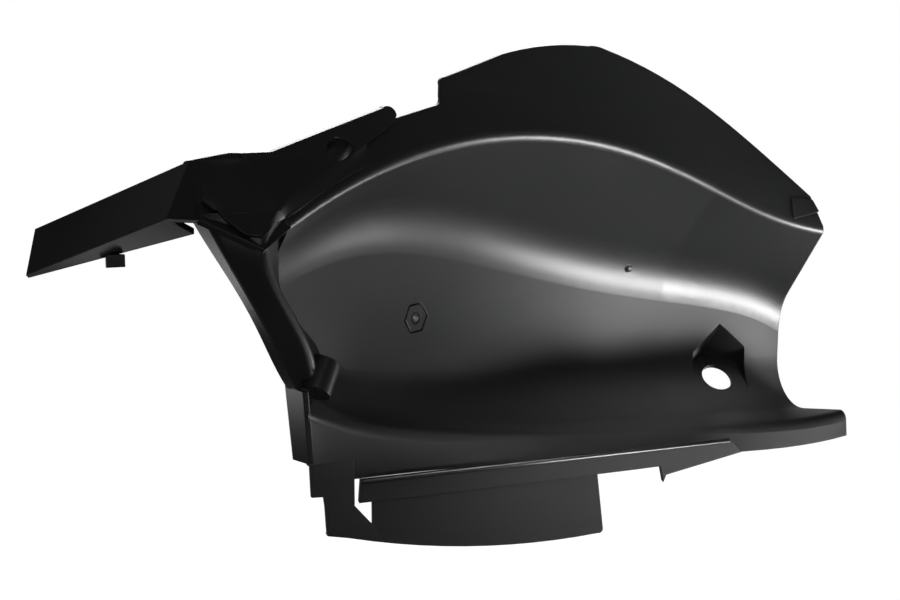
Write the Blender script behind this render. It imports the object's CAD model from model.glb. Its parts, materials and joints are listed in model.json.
"""Dressed scene of a moulded inner rear fender for a motorcycle, seen from its wheel side.

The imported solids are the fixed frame, in metres. This script gives each of them its finish, adds the
small details that a mould leaves on the plastic, and sets up a pale studio with one camera.
"""

import json
import logging
import math
from dataclasses import dataclass
from enum import Enum

import bmesh
import bpy
from mathutils import Matrix, Vector


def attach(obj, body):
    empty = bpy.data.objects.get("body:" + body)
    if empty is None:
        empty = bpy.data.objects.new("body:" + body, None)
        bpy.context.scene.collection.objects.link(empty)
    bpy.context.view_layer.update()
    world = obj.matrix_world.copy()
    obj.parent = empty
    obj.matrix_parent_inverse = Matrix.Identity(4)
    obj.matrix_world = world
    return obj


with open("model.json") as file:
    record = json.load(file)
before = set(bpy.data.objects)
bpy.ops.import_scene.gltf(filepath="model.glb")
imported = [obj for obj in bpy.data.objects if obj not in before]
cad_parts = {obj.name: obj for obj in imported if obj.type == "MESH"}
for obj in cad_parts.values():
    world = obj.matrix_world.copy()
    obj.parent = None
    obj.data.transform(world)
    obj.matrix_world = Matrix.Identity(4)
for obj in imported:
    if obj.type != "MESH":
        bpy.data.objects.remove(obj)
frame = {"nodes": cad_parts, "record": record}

LOG = logging.getLogger("fender_scene")
MM = 0.001
SHARP_ANGLE = 38.0
SORTING = Vector((1.0, 0.618, 0.414))


class Slot(str, Enum):
    """Material slots that the record names."""

    PLASTIC = "black_plastic"
    METAL = "insert_metal"


class Part(str, Enum):
    """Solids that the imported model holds."""

    MOULDING = "fender_moulding"
    INSERT = "threaded_insert"


class NodeTree:
    """Shorthand for adding and joining shader nodes in one tree."""

    def __init__(self, tree: bpy.types.NodeTree) -> None:
        """Keeps the tree and clears the nodes that it starts with.

        Args:
            tree: The material's, world's or group's nodes.
        """
        self.tree = tree
        self.tree.nodes.clear()

    def add(self, kind: str, **settings: object) -> bpy.types.Node:
        """Adds a node and sets its properties.

        Args:
            kind: Blender's name for the node type.
            **settings: Properties of the node, such as operation.

        Returns:
            The new node.
        """
        node = self.tree.nodes.new(kind)
        for name, value in settings.items():
            setattr(node, name, value)
        return node

    def join(self, source: bpy.types.NodeSocket, target: bpy.types.NodeSocket) -> None:
        """Links an output to an input.

        Args:
            source: The output that is read.
            target: The input that it feeds.
        """
        self.tree.links.new(source, target)

    def maths(self, operation: str, first: object, second: object = 0.0) -> bpy.types.NodeSocket:
        """Adds a Math node.

        Args:
            operation: The sum that it does, such as MULTIPLY.
            first: A socket or a number.
            second: A socket or a number.

        Returns:
            The node's output.
        """
        node = self.add("ShaderNodeMath", operation=operation)
        for slot, value in zip(node.inputs, (first, second)):
            if isinstance(value, bpy.types.NodeSocket):
                self.join(value, slot)
            else:
                slot.default_value = value
        return node.outputs[0]

    def span(self, source: bpy.types.NodeSocket, start: float, end: float) -> bpy.types.NodeSocket:
        """Adds a smooth step.

        Args:
            source: The value that is read.
            start: Where the step is 0.
            end: Where the step is 1.

        Returns:
            The step's output.
        """
        node = self.add("ShaderNodeMapRange", interpolation_type="SMOOTHSTEP")
        low, high = min(start, end), max(start, end)
        node.inputs["From Min"].default_value = low
        node.inputs["From Max"].default_value = high
        node.inputs["To Min"].default_value = 0.0 if start < end else 1.0
        node.inputs["To Max"].default_value = 1.0 if start < end else 0.0
        self.join(source, node.inputs["Value"])
        return node.outputs["Result"]

    def ramp(self, source: bpy.types.NodeSocket, stops: list[tuple[float, float]]) -> bpy.types.NodeSocket:
        """Adds a grey ramp.

        Args:
            source: The value that is looked up.
            stops: Pairs of place and grey level.

        Returns:
            The ramp's colour output.
        """
        node = self.add("ShaderNodeValToRGB")
        elements = node.color_ramp.elements
        while len(elements) < len(stops):
            elements.new(0.5)
        for element, (place, level) in zip(elements, stops):
            element.position = place
            element.color = (level, level, level, 1.0)
        self.join(source, node.inputs["Fac"])
        return node.outputs["Color"]


class SurfaceGroups:
    """Node groups for the effects that more than one finish uses."""

    @staticmethod
    def grain() -> bpy.types.ShaderNodeTree:
        """Fine mould grain with soft flow marks and faint scuffs.

        Returns:
            A group with Height, Rub and Flow outputs.
        """
        group = bpy.data.node_groups.new("mould_grain", "ShaderNodeTree")
        for name, start in (("Grain Size", 2400.0), ("Flow Size", 9.0), ("Scuff Size", 55.0)):
            socket = group.interface.new_socket(name, in_out="INPUT", socket_type="NodeSocketFloat")
            socket.default_value = start
        for name in ("Height", "Rub", "Flow"):
            group.interface.new_socket(name, in_out="OUTPUT", socket_type="NodeSocketFloat")
        net = NodeTree(group)
        inside = net.add("NodeGroupInput")
        outside = net.add("NodeGroupOutput")
        place = net.add("ShaderNodeTexCoord")
        grain = net.add("ShaderNodeTexNoise")
        grain.inputs["Detail"].default_value = 3.0
        grain.inputs["Roughness"].default_value = 0.55
        flow = net.add("ShaderNodeTexNoise")
        flow.inputs["Detail"].default_value = 2.0
        flow.inputs["Distortion"].default_value = 0.6
        stretch = net.add("ShaderNodeMapping")
        stretch.inputs["Scale"].default_value = (0.18, 1.0, 1.0)
        scuff = net.add("ShaderNodeTexNoise")
        scuff.inputs["Detail"].default_value = 6.0
        scuff.inputs["Roughness"].default_value = 0.7
        net.join(place.outputs["Object"], grain.inputs["Vector"])
        net.join(place.outputs["Object"], flow.inputs["Vector"])
        net.join(place.outputs["Object"], stretch.inputs["Vector"])
        net.join(stretch.outputs["Vector"], scuff.inputs["Vector"])
        net.join(inside.outputs["Grain Size"], grain.inputs["Scale"])
        net.join(inside.outputs["Flow Size"], flow.inputs["Scale"])
        net.join(inside.outputs["Scuff Size"], scuff.inputs["Scale"])
        net.join(grain.outputs["Fac"], outside.inputs["Height"])
        net.join(net.ramp(scuff.outputs["Fac"], [(0.52, 0.0), (0.72, 1.0)]), outside.inputs["Rub"])
        net.join(flow.outputs["Fac"], outside.inputs["Flow"])
        return group


@dataclass(frozen=True)
class PlasticFinish:
    """Satin black plastic straight from the mould, with lengths in metres."""

    name: str = "satin_black_plastic"
    colour: tuple[float, float, float] = (0.0105, 0.0110, 0.0108)
    rubbed_colour: tuple[float, float, float] = (0.034, 0.035, 0.0345)
    roughness: float = 0.39
    roughness_swing: float = 0.10
    textured_roughness: float = 0.85
    textured_below: float = -0.020
    polished_above: float = 0.045
    trough_front: float = -0.085
    crease_x: float = -0.043
    crease_blend: float = 0.0006
    mouth_polish: float = 0.04
    rub_share: float = 0.15
    film_base: float = 0.35
    film_fade: float = 0.02
    grain_depth: float = 0.00002
    grain_strength: float = 0.35
    edge_radius: float = 0.0009
    edge_samples: int = 6
    specular: float = 0.55

    def build(self, grain: bpy.types.ShaderNodeTree) -> bpy.types.Material:
        """Makes the material.

        Args:
            grain: The shared grain group.

        Returns:
            The plastic material.
        """
        material = bpy.data.materials.new(self.name)
        material.use_nodes = True
        net = NodeTree(material.node_tree)
        output = net.add("ShaderNodeOutputMaterial")
        shader = net.add("ShaderNodeBsdfPrincipled")
        shader.inputs["Specular IOR Level"].default_value = self.specular
        surface = net.add("ShaderNodeGroup", node_tree=grain)
        place = net.add("ShaderNodeTexCoord")
        axes = net.add("ShaderNodeSeparateXYZ")
        net.join(place.outputs["Object"], axes.inputs["Vector"])
        low = net.span(axes.outputs["Z"], self.polished_above, self.textured_below)
        net.join(self.tint(net, surface, axes, low), shader.inputs["Base Color"])
        net.join(self.sheen(net, surface, axes, low), shader.inputs["Roughness"])
        net.join(self.relief(net, surface), shader.inputs["Normal"])
        net.join(shader.outputs["BSDF"], output.inputs["Surface"])
        return material

    def tint(
        self, net: NodeTree, surface: bpy.types.Node, axes: bpy.types.Node, low: bpy.types.NodeSocket
    ) -> bpy.types.NodeSocket:
        """Mixes the plastic's colour with scuffs and with a film of dust low in the trough.

        Args:
            net: The material's nodes.
            surface: The grain group's node.
            axes: The place on the part, split by axis.
            low: 1 on the low textured faces and 0 on the polished ones.

        Returns:
            The colour.
        """
        mix = net.add("ShaderNodeMix", data_type="RGBA")
        mix.inputs["A"].default_value = (*self.colour, 1.0)
        mix.inputs["B"].default_value = (*self.rubbed_colour, 1.0)
        rub = net.maths("MULTIPLY", surface.outputs["Rub"], self.rub_share)
        inside = net.span(axes.outputs["Y"], self.trough_front, self.trough_front + self.film_fade)
        film = net.maths("MULTIPLY", low, inside)
        film = net.maths("MULTIPLY", film, net.maths("ADD", surface.outputs["Flow"], self.film_base))
        net.join(net.maths("MAXIMUM", rub, film), mix.inputs["Factor"])
        return mix.outputs["Result"]

    def sheen(
        self, net: NodeTree, surface: bpy.types.Node, axes: bpy.types.Node, low: bpy.types.NodeSocket
    ) -> bpy.types.NodeSocket:
        """Works out the roughness: coarse low down, and smoother past the crease by the mouth.

        Args:
            net: The material's nodes.
            surface: The grain group's node.
            axes: The place on the part, split by axis.
            low: 1 on the low textured faces and 0 on the polished ones.

        Returns:
            The roughness.
        """
        swing = net.maths("MULTIPLY", surface.outputs["Flow"], self.roughness_swing)
        before, past = self.crease_x - self.crease_blend, self.crease_x + self.crease_blend
        polish = net.maths("MULTIPLY", net.span(axes.outputs["X"], before, past), -self.mouth_polish)
        coarse = net.maths("MULTIPLY", low, self.textured_roughness - self.roughness)
        rougher = net.maths("ADD", net.maths("ADD", swing, polish), coarse)
        return net.maths("ADD", rougher, self.roughness - self.roughness_swing / 2.0)

    def relief(self, net: NodeTree, surface: bpy.types.Node) -> bpy.types.NodeSocket:
        """Rounds the edges and adds the mould's fine grain.

        Args:
            net: The material's nodes.
            surface: The grain group's node.

        Returns:
            The normal.
        """
        rounded = net.add("ShaderNodeBevel", samples=self.edge_samples)
        rounded.inputs["Radius"].default_value = self.edge_radius
        bump = net.add("ShaderNodeBump")
        bump.inputs["Strength"].default_value = self.grain_strength
        bump.inputs["Distance"].default_value = self.grain_depth
        net.join(surface.outputs["Height"], bump.inputs["Height"])
        net.join(rounded.outputs["Normal"], bump.inputs["Normal"])
        return bump.outputs["Normal"]


@dataclass(frozen=True)
class MetalFinish:
    """Turned steel with a dull plating."""

    colour: tuple[float, float, float] = (0.52, 0.52, 0.50)
    worn_share: float = 0.55
    roughness: float = 0.34
    roughness_swing: float = 0.20
    grain_size: float = 900.0
    scuff_size: float = 300.0

    def build(self, grain: bpy.types.ShaderNodeTree) -> bpy.types.Material:
        """Makes the material.

        Args:
            grain: The shared grain group.

        Returns:
            The metal material.
        """
        material = bpy.data.materials.new("plated_steel")
        material.use_nodes = True
        net = NodeTree(material.node_tree)
        output = net.add("ShaderNodeOutputMaterial")
        shader = net.add("ShaderNodeBsdfPrincipled")
        shader.inputs["Metallic"].default_value = 1.0
        surface = net.add("ShaderNodeGroup", node_tree=grain)
        surface.inputs["Grain Size"].default_value = self.grain_size
        surface.inputs["Scuff Size"].default_value = self.scuff_size
        tint = net.add("ShaderNodeMix", data_type="RGBA")
        tint.inputs["A"].default_value = (*self.colour, 1.0)
        tint.inputs["B"].default_value = (*(level * self.worn_share for level in self.colour), 1.0)
        net.join(surface.outputs["Rub"], tint.inputs["Factor"])
        net.join(tint.outputs["Result"], shader.inputs["Base Color"])
        swing = net.maths("MULTIPLY", surface.outputs["Height"], self.roughness_swing)
        rougher = net.maths("ADD", swing, self.roughness - self.roughness_swing / 2.0)
        net.join(rougher, shader.inputs["Roughness"])
        net.join(shader.outputs["BSDF"], output.inputs["Surface"])
        return material


@dataclass
class DressedSolid:
    """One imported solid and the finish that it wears."""

    part: Part
    finish: PlasticFinish | MetalFinish

    def dress(self, grain: bpy.types.ShaderNodeTree) -> tuple[bpy.types.Object, bpy.types.Material]:
        """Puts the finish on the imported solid.

        Args:
            grain: The shared grain group.

        Returns:
            The solid's object, and the material for the pieces that match it.
        """
        material = self.finish.build(grain)
        solid = frame["nodes"][self.part.value]
        solid.data.materials.clear()
        solid.data.materials.append(material)
        LOG.info("dressed %s", solid.name)
        return solid, material


class Sheet:
    """Thin closed pieces bent over a grid of points, and how they join the scene."""

    @staticmethod
    def between(spots: list[Vector], share: float) -> Vector:
        """Finds a place along a run of points.

        Args:
            spots: The points in order.
            share: 0 at the first point and 1 at the last.

        Returns:
            The point there.
        """
        along = share * (len(spots) - 1)
        step = min(int(along), len(spots) - 2)
        return spots[step].lerp(spots[step + 1], along - step)

    @staticmethod
    def bent(rows: list[list[Vector]], depth: Vector, rounds: int) -> bmesh.types.BMesh:
        """Bends a flat grid onto rows of points and gives it a thickness.

        Args:
            rows: Points of the face, row by row, all rows equally long.
            depth: How far the back face lies behind the front face.
            rounds: How many times the inner points are smoothed.

        Returns:
            The closed sheet.
        """
        across = len(rows[0]) - 1
        down = len(rows) - 1
        shape = bmesh.new()
        bmesh.ops.create_grid(shape, x_segments=across, y_segments=down, size=1.0)
        for vert in shape.verts:
            column = round((vert.co.x + 1.0) / 2.0 * across)
            row = round((vert.co.y + 1.0) / 2.0 * down)
            vert.co = rows[row][column]
        inner = [vert for vert in shape.verts if not vert.is_boundary]
        for _ in range(rounds):
            bmesh.ops.smooth_vert(
                shape, verts=inner, factor=0.5, use_axis_x=True, use_axis_y=True, use_axis_z=True
            )
        pushed = bmesh.ops.extrude_face_region(shape, geom=shape.faces[:], use_keep_orig=True)
        behind = [part for part in pushed["geom"] if isinstance(part, bmesh.types.BMVert)]
        bmesh.ops.translate(shape, verts=behind, vec=depth)
        bmesh.ops.recalc_face_normals(shape, faces=shape.faces[:])
        return shape

    @staticmethod
    def place(
        name: str, shape: bmesh.types.BMesh, material: bpy.types.Material, slot: Slot
    ) -> bpy.types.Object:
        """Turns a shape into a piece that rides on the fender.

        Args:
            name: The piece's name.
            shape: The closed shape, which is used up.
            material: Its finish.
            slot: The record's slot for that finish.

        Returns:
            The new piece.
        """
        mesh = bpy.data.meshes.new(name)
        for face in shape.faces:
            face.smooth = True
        # One fixed order, so that each run writes the same mesh
        shape.verts.sort(key=lambda vert: vert.co.dot(SORTING))
        shape.faces.sort(key=lambda face: face.calc_center_median().dot(SORTING))
        shape.to_mesh(mesh)
        shape.free()
        mesh.set_sharp_from_angle(angle=math.radians(SHARP_ANGLE))
        mesh.materials.append(material)
        piece = bpy.data.objects.new(name, mesh)
        bpy.context.scene.collection.objects.link(piece)
        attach(piece, "root")
        return piece


@dataclass
class PanelSkin:
    """Smooth outer skin where the upper panel runs into the ear, the neck and the left rim.

    The skin is stretched over the moulding like a film: its border lies on the moulding, and between
    its borders it is as flat as what lies under it allows. Lengths are in millimetres, and top and foot
    hold the X and Z of the border.
    """

    top: tuple[tuple[float, float], ...] = (
        (-362.0, 155.8),
        (-345.0, 156.1),
        (-330.0, 155.0),
        (-315.0, 156.0),
        (-300.0, 157.5),
        (-292.0, 157.0),
        (-285.7, 156.6),
        (-279.0, 158.0),
        (-275.0, 160.5),
        (-271.0, 162.0),
    )
    foot: tuple[tuple[float, float], ...] = (
        (-364.2, 136.0),
        (-354.4, 126.6),
        (-346.2, 119.8),
        (-337.0, 117.6),
        (-328.0, 124.7),
        (-318.1, 129.0),
        (-309.5, 133.5),
        (-300.0, 138.5),
        (-285.0, 145.5),
        (-270.0, 151.0),
    )
    free_lift: tuple[float, ...] = (2.5, 2.8, 3.0, 1.8, 0.4, 0.1)
    skim: float = 0.08
    thickness: float = 1.6
    reach: float = 60.0
    columns: int = 72
    rows: int = 30
    passes: int = 500
    smoothing: int = 2

    def __post_init__(self) -> None:
        """Reads the direction that the panel faces from the ear's hole."""
        mount = next(m for m in frame["record"]["mounts"] if m["name"] == "ear_hole")
        self.centre = Vector(mount["pos_m"])
        self.outward = Vector(mount["axis"]).normalized()

    def on_plane(self, x: float, z: float) -> Vector:
        """Finds a point of the ear's plane.

        Args:
            x: Its X, in millimetres.
            z: Its Z, in millimetres.

        Returns:
            The point, in metres.
        """
        dx = x * MM - self.centre.x
        dz = z * MM - self.centre.z
        dy = -(self.outward.x * dx + self.outward.z * dz) / self.outward.y
        return self.centre + Vector((dx, dy, dz))

    def height(self, solid: bpy.types.Object, base: Vector) -> float:
        """Measures how far the moulding stands out from the ear's plane.

        Args:
            solid: The moulding.
            base: A point on the plane.

        Returns:
            The height along the plane's outward direction, in metres.
        """
        reach = self.reach * MM
        found, spot, _, _ = solid.ray_cast(base + self.outward * reach, -self.outward, distance=2.0 * reach)
        return (spot - base).dot(self.outward) if found else 0.0

    def footprint(self) -> list[list[Vector]]:
        """Lays the skin's grid out on the ear's plane, row by row from the top to the foot.

        Returns:
            The grid's points.
        """
        top = [self.on_plane(x, z) for x, z in self.top]
        foot = [self.on_plane(x, z) for x, z in self.foot]
        shares = [column / self.columns for column in range(self.columns + 1)]
        ends = [(Sheet.between(top, share), Sheet.between(foot, share)) for share in shares]
        return [[upper.lerp(lower, row / self.rows) for upper, lower in ends] for row in range(self.rows + 1)]

    def lift(self, column: int) -> float:
        """Finds how far the foot stands off the moulding.

        Args:
            column: The grid's column.

        Returns:
            The distance in metres, which is 0 past the free part of the foot.
        """
        spot = column / self.columns * (len(self.foot) - 1)
        step = int(spot)
        if step + 1 >= len(self.free_lift):
            return 0.0
        start, end = self.free_lift[step], self.free_lift[step + 1]
        return (start + (end - start) * (spot - step)) * MM

    def stretch(self, floor: list[list[float]]) -> list[list[float]]:
        """Pulls the skin tight between its borders without sinking into the moulding.

        Args:
            floor: The moulding's heights over the grid.

        Returns:
            The skin's heights.
        """
        level = [line[:] for line in floor]
        level[-1] = [height + self.lift(column) for column, height in enumerate(floor[-1])]
        for _ in range(self.passes):
            for row in range(1, self.rows):
                line, above, below = level[row], level[row - 1], level[row + 1]
                for column in range(1, self.columns):
                    mean = (line[column - 1] + line[column + 1] + above[column] + below[column]) / 4.0
                    line[column] = max(floor[row][column], mean)
        return level

    def build(self, solid: bpy.types.Object, material: bpy.types.Material) -> bpy.types.Object:
        """Makes the skin.

        Args:
            solid: The moulding that it lies on.
            material: The plastic material.

        Returns:
            The new piece.
        """
        base = self.footprint()
        floor = [[self.height(solid, spot) + self.skim * MM for spot in line] for line in base]
        grid = []
        for line, heights in zip(base, self.stretch(floor)):
            grid.append([spot + self.outward * height for spot, height in zip(line, heights)])
        shape = Sheet.bent(grid, self.outward * -self.thickness * MM, self.smoothing)
        return Sheet.place("panel_skin", shape, material, Slot.PLASTIC)


@dataclass
class RailBead:
    """Rounded bead along the top edge of the lower rail, in millimetres."""

    left: tuple[float, float, float] = (-275.2, -97.6, -15.6)
    right: tuple[float, float, float] = (-47.5, -97.6, -13.9)
    radius: float = 1.6
    sides: int = 16
    cap_angle: float = 1.0
    end_round: float = 0.8
    end_steps: int = 4
    finish: PlasticFinish = PlasticFinish(
        name="rubbed_black_plastic", roughness=0.26, textured_roughness=0.26
    )

    def build(self, material: bpy.types.Material) -> bpy.types.Object:
        """Makes the bead.

        Args:
            material: The plastic material, made from the bead's own finish.

        Returns:
            The new piece.
        """
        start = Vector(self.left) * MM
        run = Vector(self.right) * MM - start
        shape = bmesh.new()
        turn = run.to_track_quat("Z", "Y").to_matrix().to_4x4()
        bmesh.ops.create_cone(
            shape,
            cap_ends=True,
            segments=self.sides,
            radius1=self.radius * MM,
            radius2=self.radius * MM,
            depth=run.length,
            matrix=Matrix.Translation(start + run / 2.0) @ turn,
        )
        ends = [edge for edge in shape.edges if edge.is_manifold and edge.calc_face_angle() > self.cap_angle]
        bmesh.ops.bevel(
            shape,
            geom=ends,
            offset=self.radius * MM * self.end_round,
            offset_type="OFFSET",
            segments=self.end_steps,
            profile=0.5,
            affect="EDGES",
            material=-1,
        )
        return Sheet.place("rail_bead", shape, material, Slot.PLASTIC)


@dataclass
class TipTab:
    """Small raised tab where the ridge ends at the mouth, in millimetres."""

    upper_left: tuple[float, float, float] = (27.2, -37.2, 122.0)
    upper_right: tuple[float, float, float] = (44.4, -35.0, 119.4)
    lower_left: tuple[float, float, float] = (20.6, -49.2, 109.2)
    lower_right: tuple[float, float, float] = (43.7, -41.4, 111.9)
    facing: tuple[float, float, float] = (0.423, -0.677, 0.602)
    upper_lift: float = 0.7
    lower_lift: float = 2.4
    thickness: float = 2.8
    steps: int = 6

    def edge(self, left: tuple[float, ...], right: tuple[float, ...], lift: float) -> list[Vector]:
        """Lifts two corners off the panel.

        Args:
            left: The left corner on the panel, in millimetres.
            right: The right corner on the panel, in millimetres.
            lift: How far they stand off it, in millimetres.

        Returns:
            Both corners of the tab's face, in metres.
        """
        outward = Vector(self.facing).normalized()
        return [(Vector(corner) + outward * lift) * MM for corner in (left, right)]

    def build(self, material: bpy.types.Material) -> bpy.types.Object:
        """Makes the tab.

        Args:
            material: The plastic material.

        Returns:
            The new piece.
        """
        upper = self.edge(self.upper_left, self.upper_right, self.upper_lift)
        lower = self.edge(self.lower_left, self.lower_right, self.lower_lift)
        shares = [step / self.steps for step in range(self.steps + 1)]
        ends = [(Sheet.between(upper, share), Sheet.between(lower, share)) for share in shares]
        rows = [[start.lerp(end, share) for start, end in ends] for share in shares]
        depth = Vector(self.facing).normalized() * -self.thickness * MM
        shape = Sheet.bent(rows, depth, 0)
        return Sheet.place("tip_tab", shape, material, Slot.PLASTIC)


@dataclass
class Eyelet:
    """Rolled metal lip at the mouth of the threaded insert, in millimetres."""

    ring_radius: float = 2.95
    lip_radius: float = 0.8
    lean: float = 27.2
    steps: int = 40
    lip_sides: int = 14

    def build(self, material: bpy.types.Material) -> bpy.types.Object:
        """Makes the lip.

        Args:
            material: The metal material.

        Returns:
            The new piece.
        """
        mount = next(m for m in frame["record"]["mounts"] if m["name"] == "insert_thread")
        centre = Vector(mount["pos_m"])
        turn = math.radians(self.lean)
        axis = Vector((math.sin(turn), -math.cos(turn), 0.0))
        shape = bmesh.new()
        made = bmesh.ops.create_circle(shape, segments=self.lip_sides, radius=self.lip_radius * MM)
        upright = Matrix.Rotation(math.pi / 2.0, 4, "X")
        aside = Matrix.Translation((self.ring_radius * MM, 0.0, 0.0))
        bmesh.ops.transform(shape, matrix=aside @ upright, verts=made["verts"])
        bmesh.ops.spin(
            shape,
            geom=shape.edges[:],
            cent=(0.0, 0.0, 0.0),
            axis=(0.0, 0.0, 1.0),
            angle=2.0 * math.pi,
            steps=self.steps,
            use_merge=True,
        )
        stand = Matrix.Translation(centre) @ axis.to_track_quat("Z", "Y").to_matrix().to_4x4()
        bmesh.ops.transform(shape, matrix=stand, verts=shape.verts[:])
        bmesh.ops.recalc_face_normals(shape, faces=shape.faces[:])
        return Sheet.place("insert_eyelet", shape, material, Slot.METAL)


@dataclass(frozen=True)
class Lamp:
    """One soft studio lamp, in metres and degrees."""

    name: str
    place: tuple[float, float, float]
    aim: tuple[float, float, float]
    width: float
    height: float
    watts: float
    spread: float = 180.0

    def build(self) -> bpy.types.Object:
        """Adds the lamp to the scene, turned towards its aim.

        Returns:
            The lamp's object.
        """
        data = bpy.data.lights.new(self.name, "AREA")
        data.shape = "RECTANGLE"
        data.size = self.width
        data.size_y = self.height
        data.energy = self.watts
        data.spread = math.radians(self.spread)
        lamp = bpy.data.objects.new(self.name, data)
        lamp.location = self.place
        lamp.rotation_euler = (Vector(self.aim) - Vector(self.place)).to_track_quat("-Z", "Y").to_euler()
        lamp.visible_camera = False
        bpy.context.scene.collection.objects.link(lamp)
        return lamp


@dataclass
class Studio:
    """Pale floor, soft lamps and the camera of the photograph, in metres and degrees."""

    floor_level: float = -0.42
    floor_half: float = 30.0
    floor_colour: tuple[float, float, float] = (0.12, 0.12, 0.12)
    floor_white: tuple[float, float, float] = (0.90, 0.90, 0.90)
    backdrop_share: float = 0.92
    backdrop_glow: float = 1.08
    mirrored_floor: float = 0.05
    room_level: float = 0.06
    camera_place: tuple[float, float, float] = (-0.49814, -0.85119, 0.22290)
    camera_elevation: float = 10.0
    camera_azimuth: float = -20.0
    lens: float = 60.0
    sensor: float = 36.0
    # Each lamp: name, place, aim, width, height, watts and, for a narrow beam, its angle
    lamps: tuple[Lamp, ...] = (
        Lamp("low_card", (0.20, -0.44, -0.15), (-0.06, 0.0, 0.15), 0.34, 0.34, 0.74, 32.0),
        Lamp("side_card", (0.33, -0.04, -0.22), (-0.29, -0.08, 0.13), 0.30, 0.26, 0.28, 46.0),
        Lamp("tongue_card", (-0.21, 0.02, -0.30), (-0.40, -0.136, 0.125), 0.16, 0.12, 0.003, 30.0),
        Lamp("rail_card", (-0.08, -0.24, 0.32), (-0.16, -0.10, -0.02), 0.40, 0.05, 0.06, 24.0),
        Lamp("front_fill", (-0.60, -1.30, 0.50), (-0.15, 0.0, 0.05), 1.2, 0.9, 2.2),
        Lamp("overhead", (-0.30, 0.30, 1.40), (-0.15, 0.0, 0.0), 1.2, 0.8, 0.35),
        Lamp("back_left", (-0.72, 0.95, -0.24), (-0.20, 0.0, 0.06), 1.0, 0.5, 3.2),
        Lamp("back_right", (0.25, 1.30, 0.45), (-0.15, 0.0, 0.05), 0.9, 0.6, 10.0),
    )

    def build(self) -> None:
        """Adds the floor, the world, the lamps and the camera."""
        self.add_floor()
        self.set_world()
        for lamp in self.lamps:
            lamp.build()
        self.add_camera()

    def floor_finish(self) -> bpy.types.Material:
        """Makes a floor that is white to the camera, grey to the plastic and clear from below.

        Returns:
            The floor's material.
        """
        material = bpy.data.materials.new("studio_floor")
        material.use_nodes = True
        net = NodeTree(material.node_tree)
        output = net.add("ShaderNodeOutputMaterial")
        matte = net.add("ShaderNodeBsdfDiffuse")
        paint = net.add("ShaderNodeMix", data_type="RGBA")
        paint.inputs["A"].default_value = (*self.floor_colour, 1.0)
        paint.inputs["B"].default_value = (*self.floor_white, 1.0)
        net.join(paint.outputs["Result"], matte.inputs["Color"])
        glow = net.add("ShaderNodeEmission")
        glow.inputs["Strength"].default_value = self.backdrop_glow
        mix = net.add("ShaderNodeMixShader")
        rays = net.add("ShaderNodeLightPath")
        net.join(rays.outputs["Is Camera Ray"], paint.inputs["Factor"])
        mirrored = net.maths("MULTIPLY", rays.outputs["Is Glossy Ray"], self.mirrored_floor)
        seen = net.maths("MAXIMUM", rays.outputs["Is Camera Ray"], mirrored)
        seen = net.maths("MULTIPLY", seen, self.backdrop_share)
        net.join(seen, mix.inputs["Fac"])
        net.join(matte.outputs["BSDF"], mix.inputs[1])
        net.join(glow.outputs["Emission"], mix.inputs[2])
        clear = net.add("ShaderNodeBsdfTransparent")
        side = net.add("ShaderNodeNewGeometry")
        sheet = net.add("ShaderNodeMixShader")
        net.join(side.outputs["Backfacing"], sheet.inputs["Fac"])
        net.join(mix.outputs["Shader"], sheet.inputs[1])
        net.join(clear.outputs["BSDF"], sheet.inputs[2])
        net.join(sheet.outputs["Shader"], output.inputs["Surface"])
        return material

    def add_floor(self) -> None:
        """Lays the floor, which keeps the object's shadow."""
        mesh = bpy.data.meshes.new("studio_floor")
        shape = bmesh.new()
        bmesh.ops.create_grid(
            shape,
            x_segments=1,
            y_segments=1,
            size=self.floor_half,
            matrix=Matrix.Translation((0.0, 0.0, self.floor_level)),
        )
        shape.to_mesh(mesh)
        shape.free()
        mesh.materials.append(self.floor_finish())
        floor = bpy.data.objects.new("studio_floor", mesh)
        bpy.context.scene.collection.objects.link(floor)

    def set_world(self) -> None:
        """Fills the room with weak even light behind a white backdrop."""
        world = bpy.data.worlds.new("studio_world")
        world.use_nodes = True
        bpy.context.scene.world = world
        net = NodeTree(world.node_tree)
        output = net.add("ShaderNodeOutputWorld")
        fill = net.add("ShaderNodeBackground")
        fill.inputs["Color"].default_value = (1.0, 1.0, 1.0, 1.0)
        rays = net.add("ShaderNodeLightPath")
        level = net.add("ShaderNodeMapRange")
        level.inputs["To Min"].default_value = self.room_level
        level.inputs["To Max"].default_value = 1.0
        net.join(rays.outputs["Is Camera Ray"], level.inputs["Value"])
        net.join(level.outputs["Result"], fill.inputs["Strength"])
        net.join(fill.outputs["Background"], output.inputs["Surface"])

    def add_camera(self) -> None:
        """Places the camera where the photograph was taken from."""
        data = bpy.data.cameras.new("photo_camera")
        data.lens = self.lens
        data.sensor_width = self.sensor
        camera = bpy.data.objects.new("photo_camera", data)
        camera.location = self.camera_place
        camera.rotation_euler = (
            math.radians(90.0 - self.camera_elevation),
            0.0,
            math.radians(self.camera_azimuth),
        )
        bpy.context.scene.collection.objects.link(camera)
        bpy.context.scene.camera = camera
        bpy.context.scene.view_settings.view_transform = "Standard"


def main() -> None:
    """Dresses the fender, sets up the studio and notes the sizes."""
    logging.basicConfig(level=logging.INFO)
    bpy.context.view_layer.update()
    grain = SurfaceGroups.grain()
    moulding, plastic = DressedSolid(Part.MOULDING, PlasticFinish()).dress(grain)
    _, metal = DressedSolid(Part.INSERT, MetalFinish()).dress(grain)
    bead = RailBead()
    for piece in (
        PanelSkin().build(moulding, plastic),
        bead.build(bead.finish.build(grain)),
        TipTab().build(plastic),
        Eyelet().build(metal),
    ):
        LOG.info("added %s", piece.name)
    Studio().build()


if __name__ == "__main__":
    main()
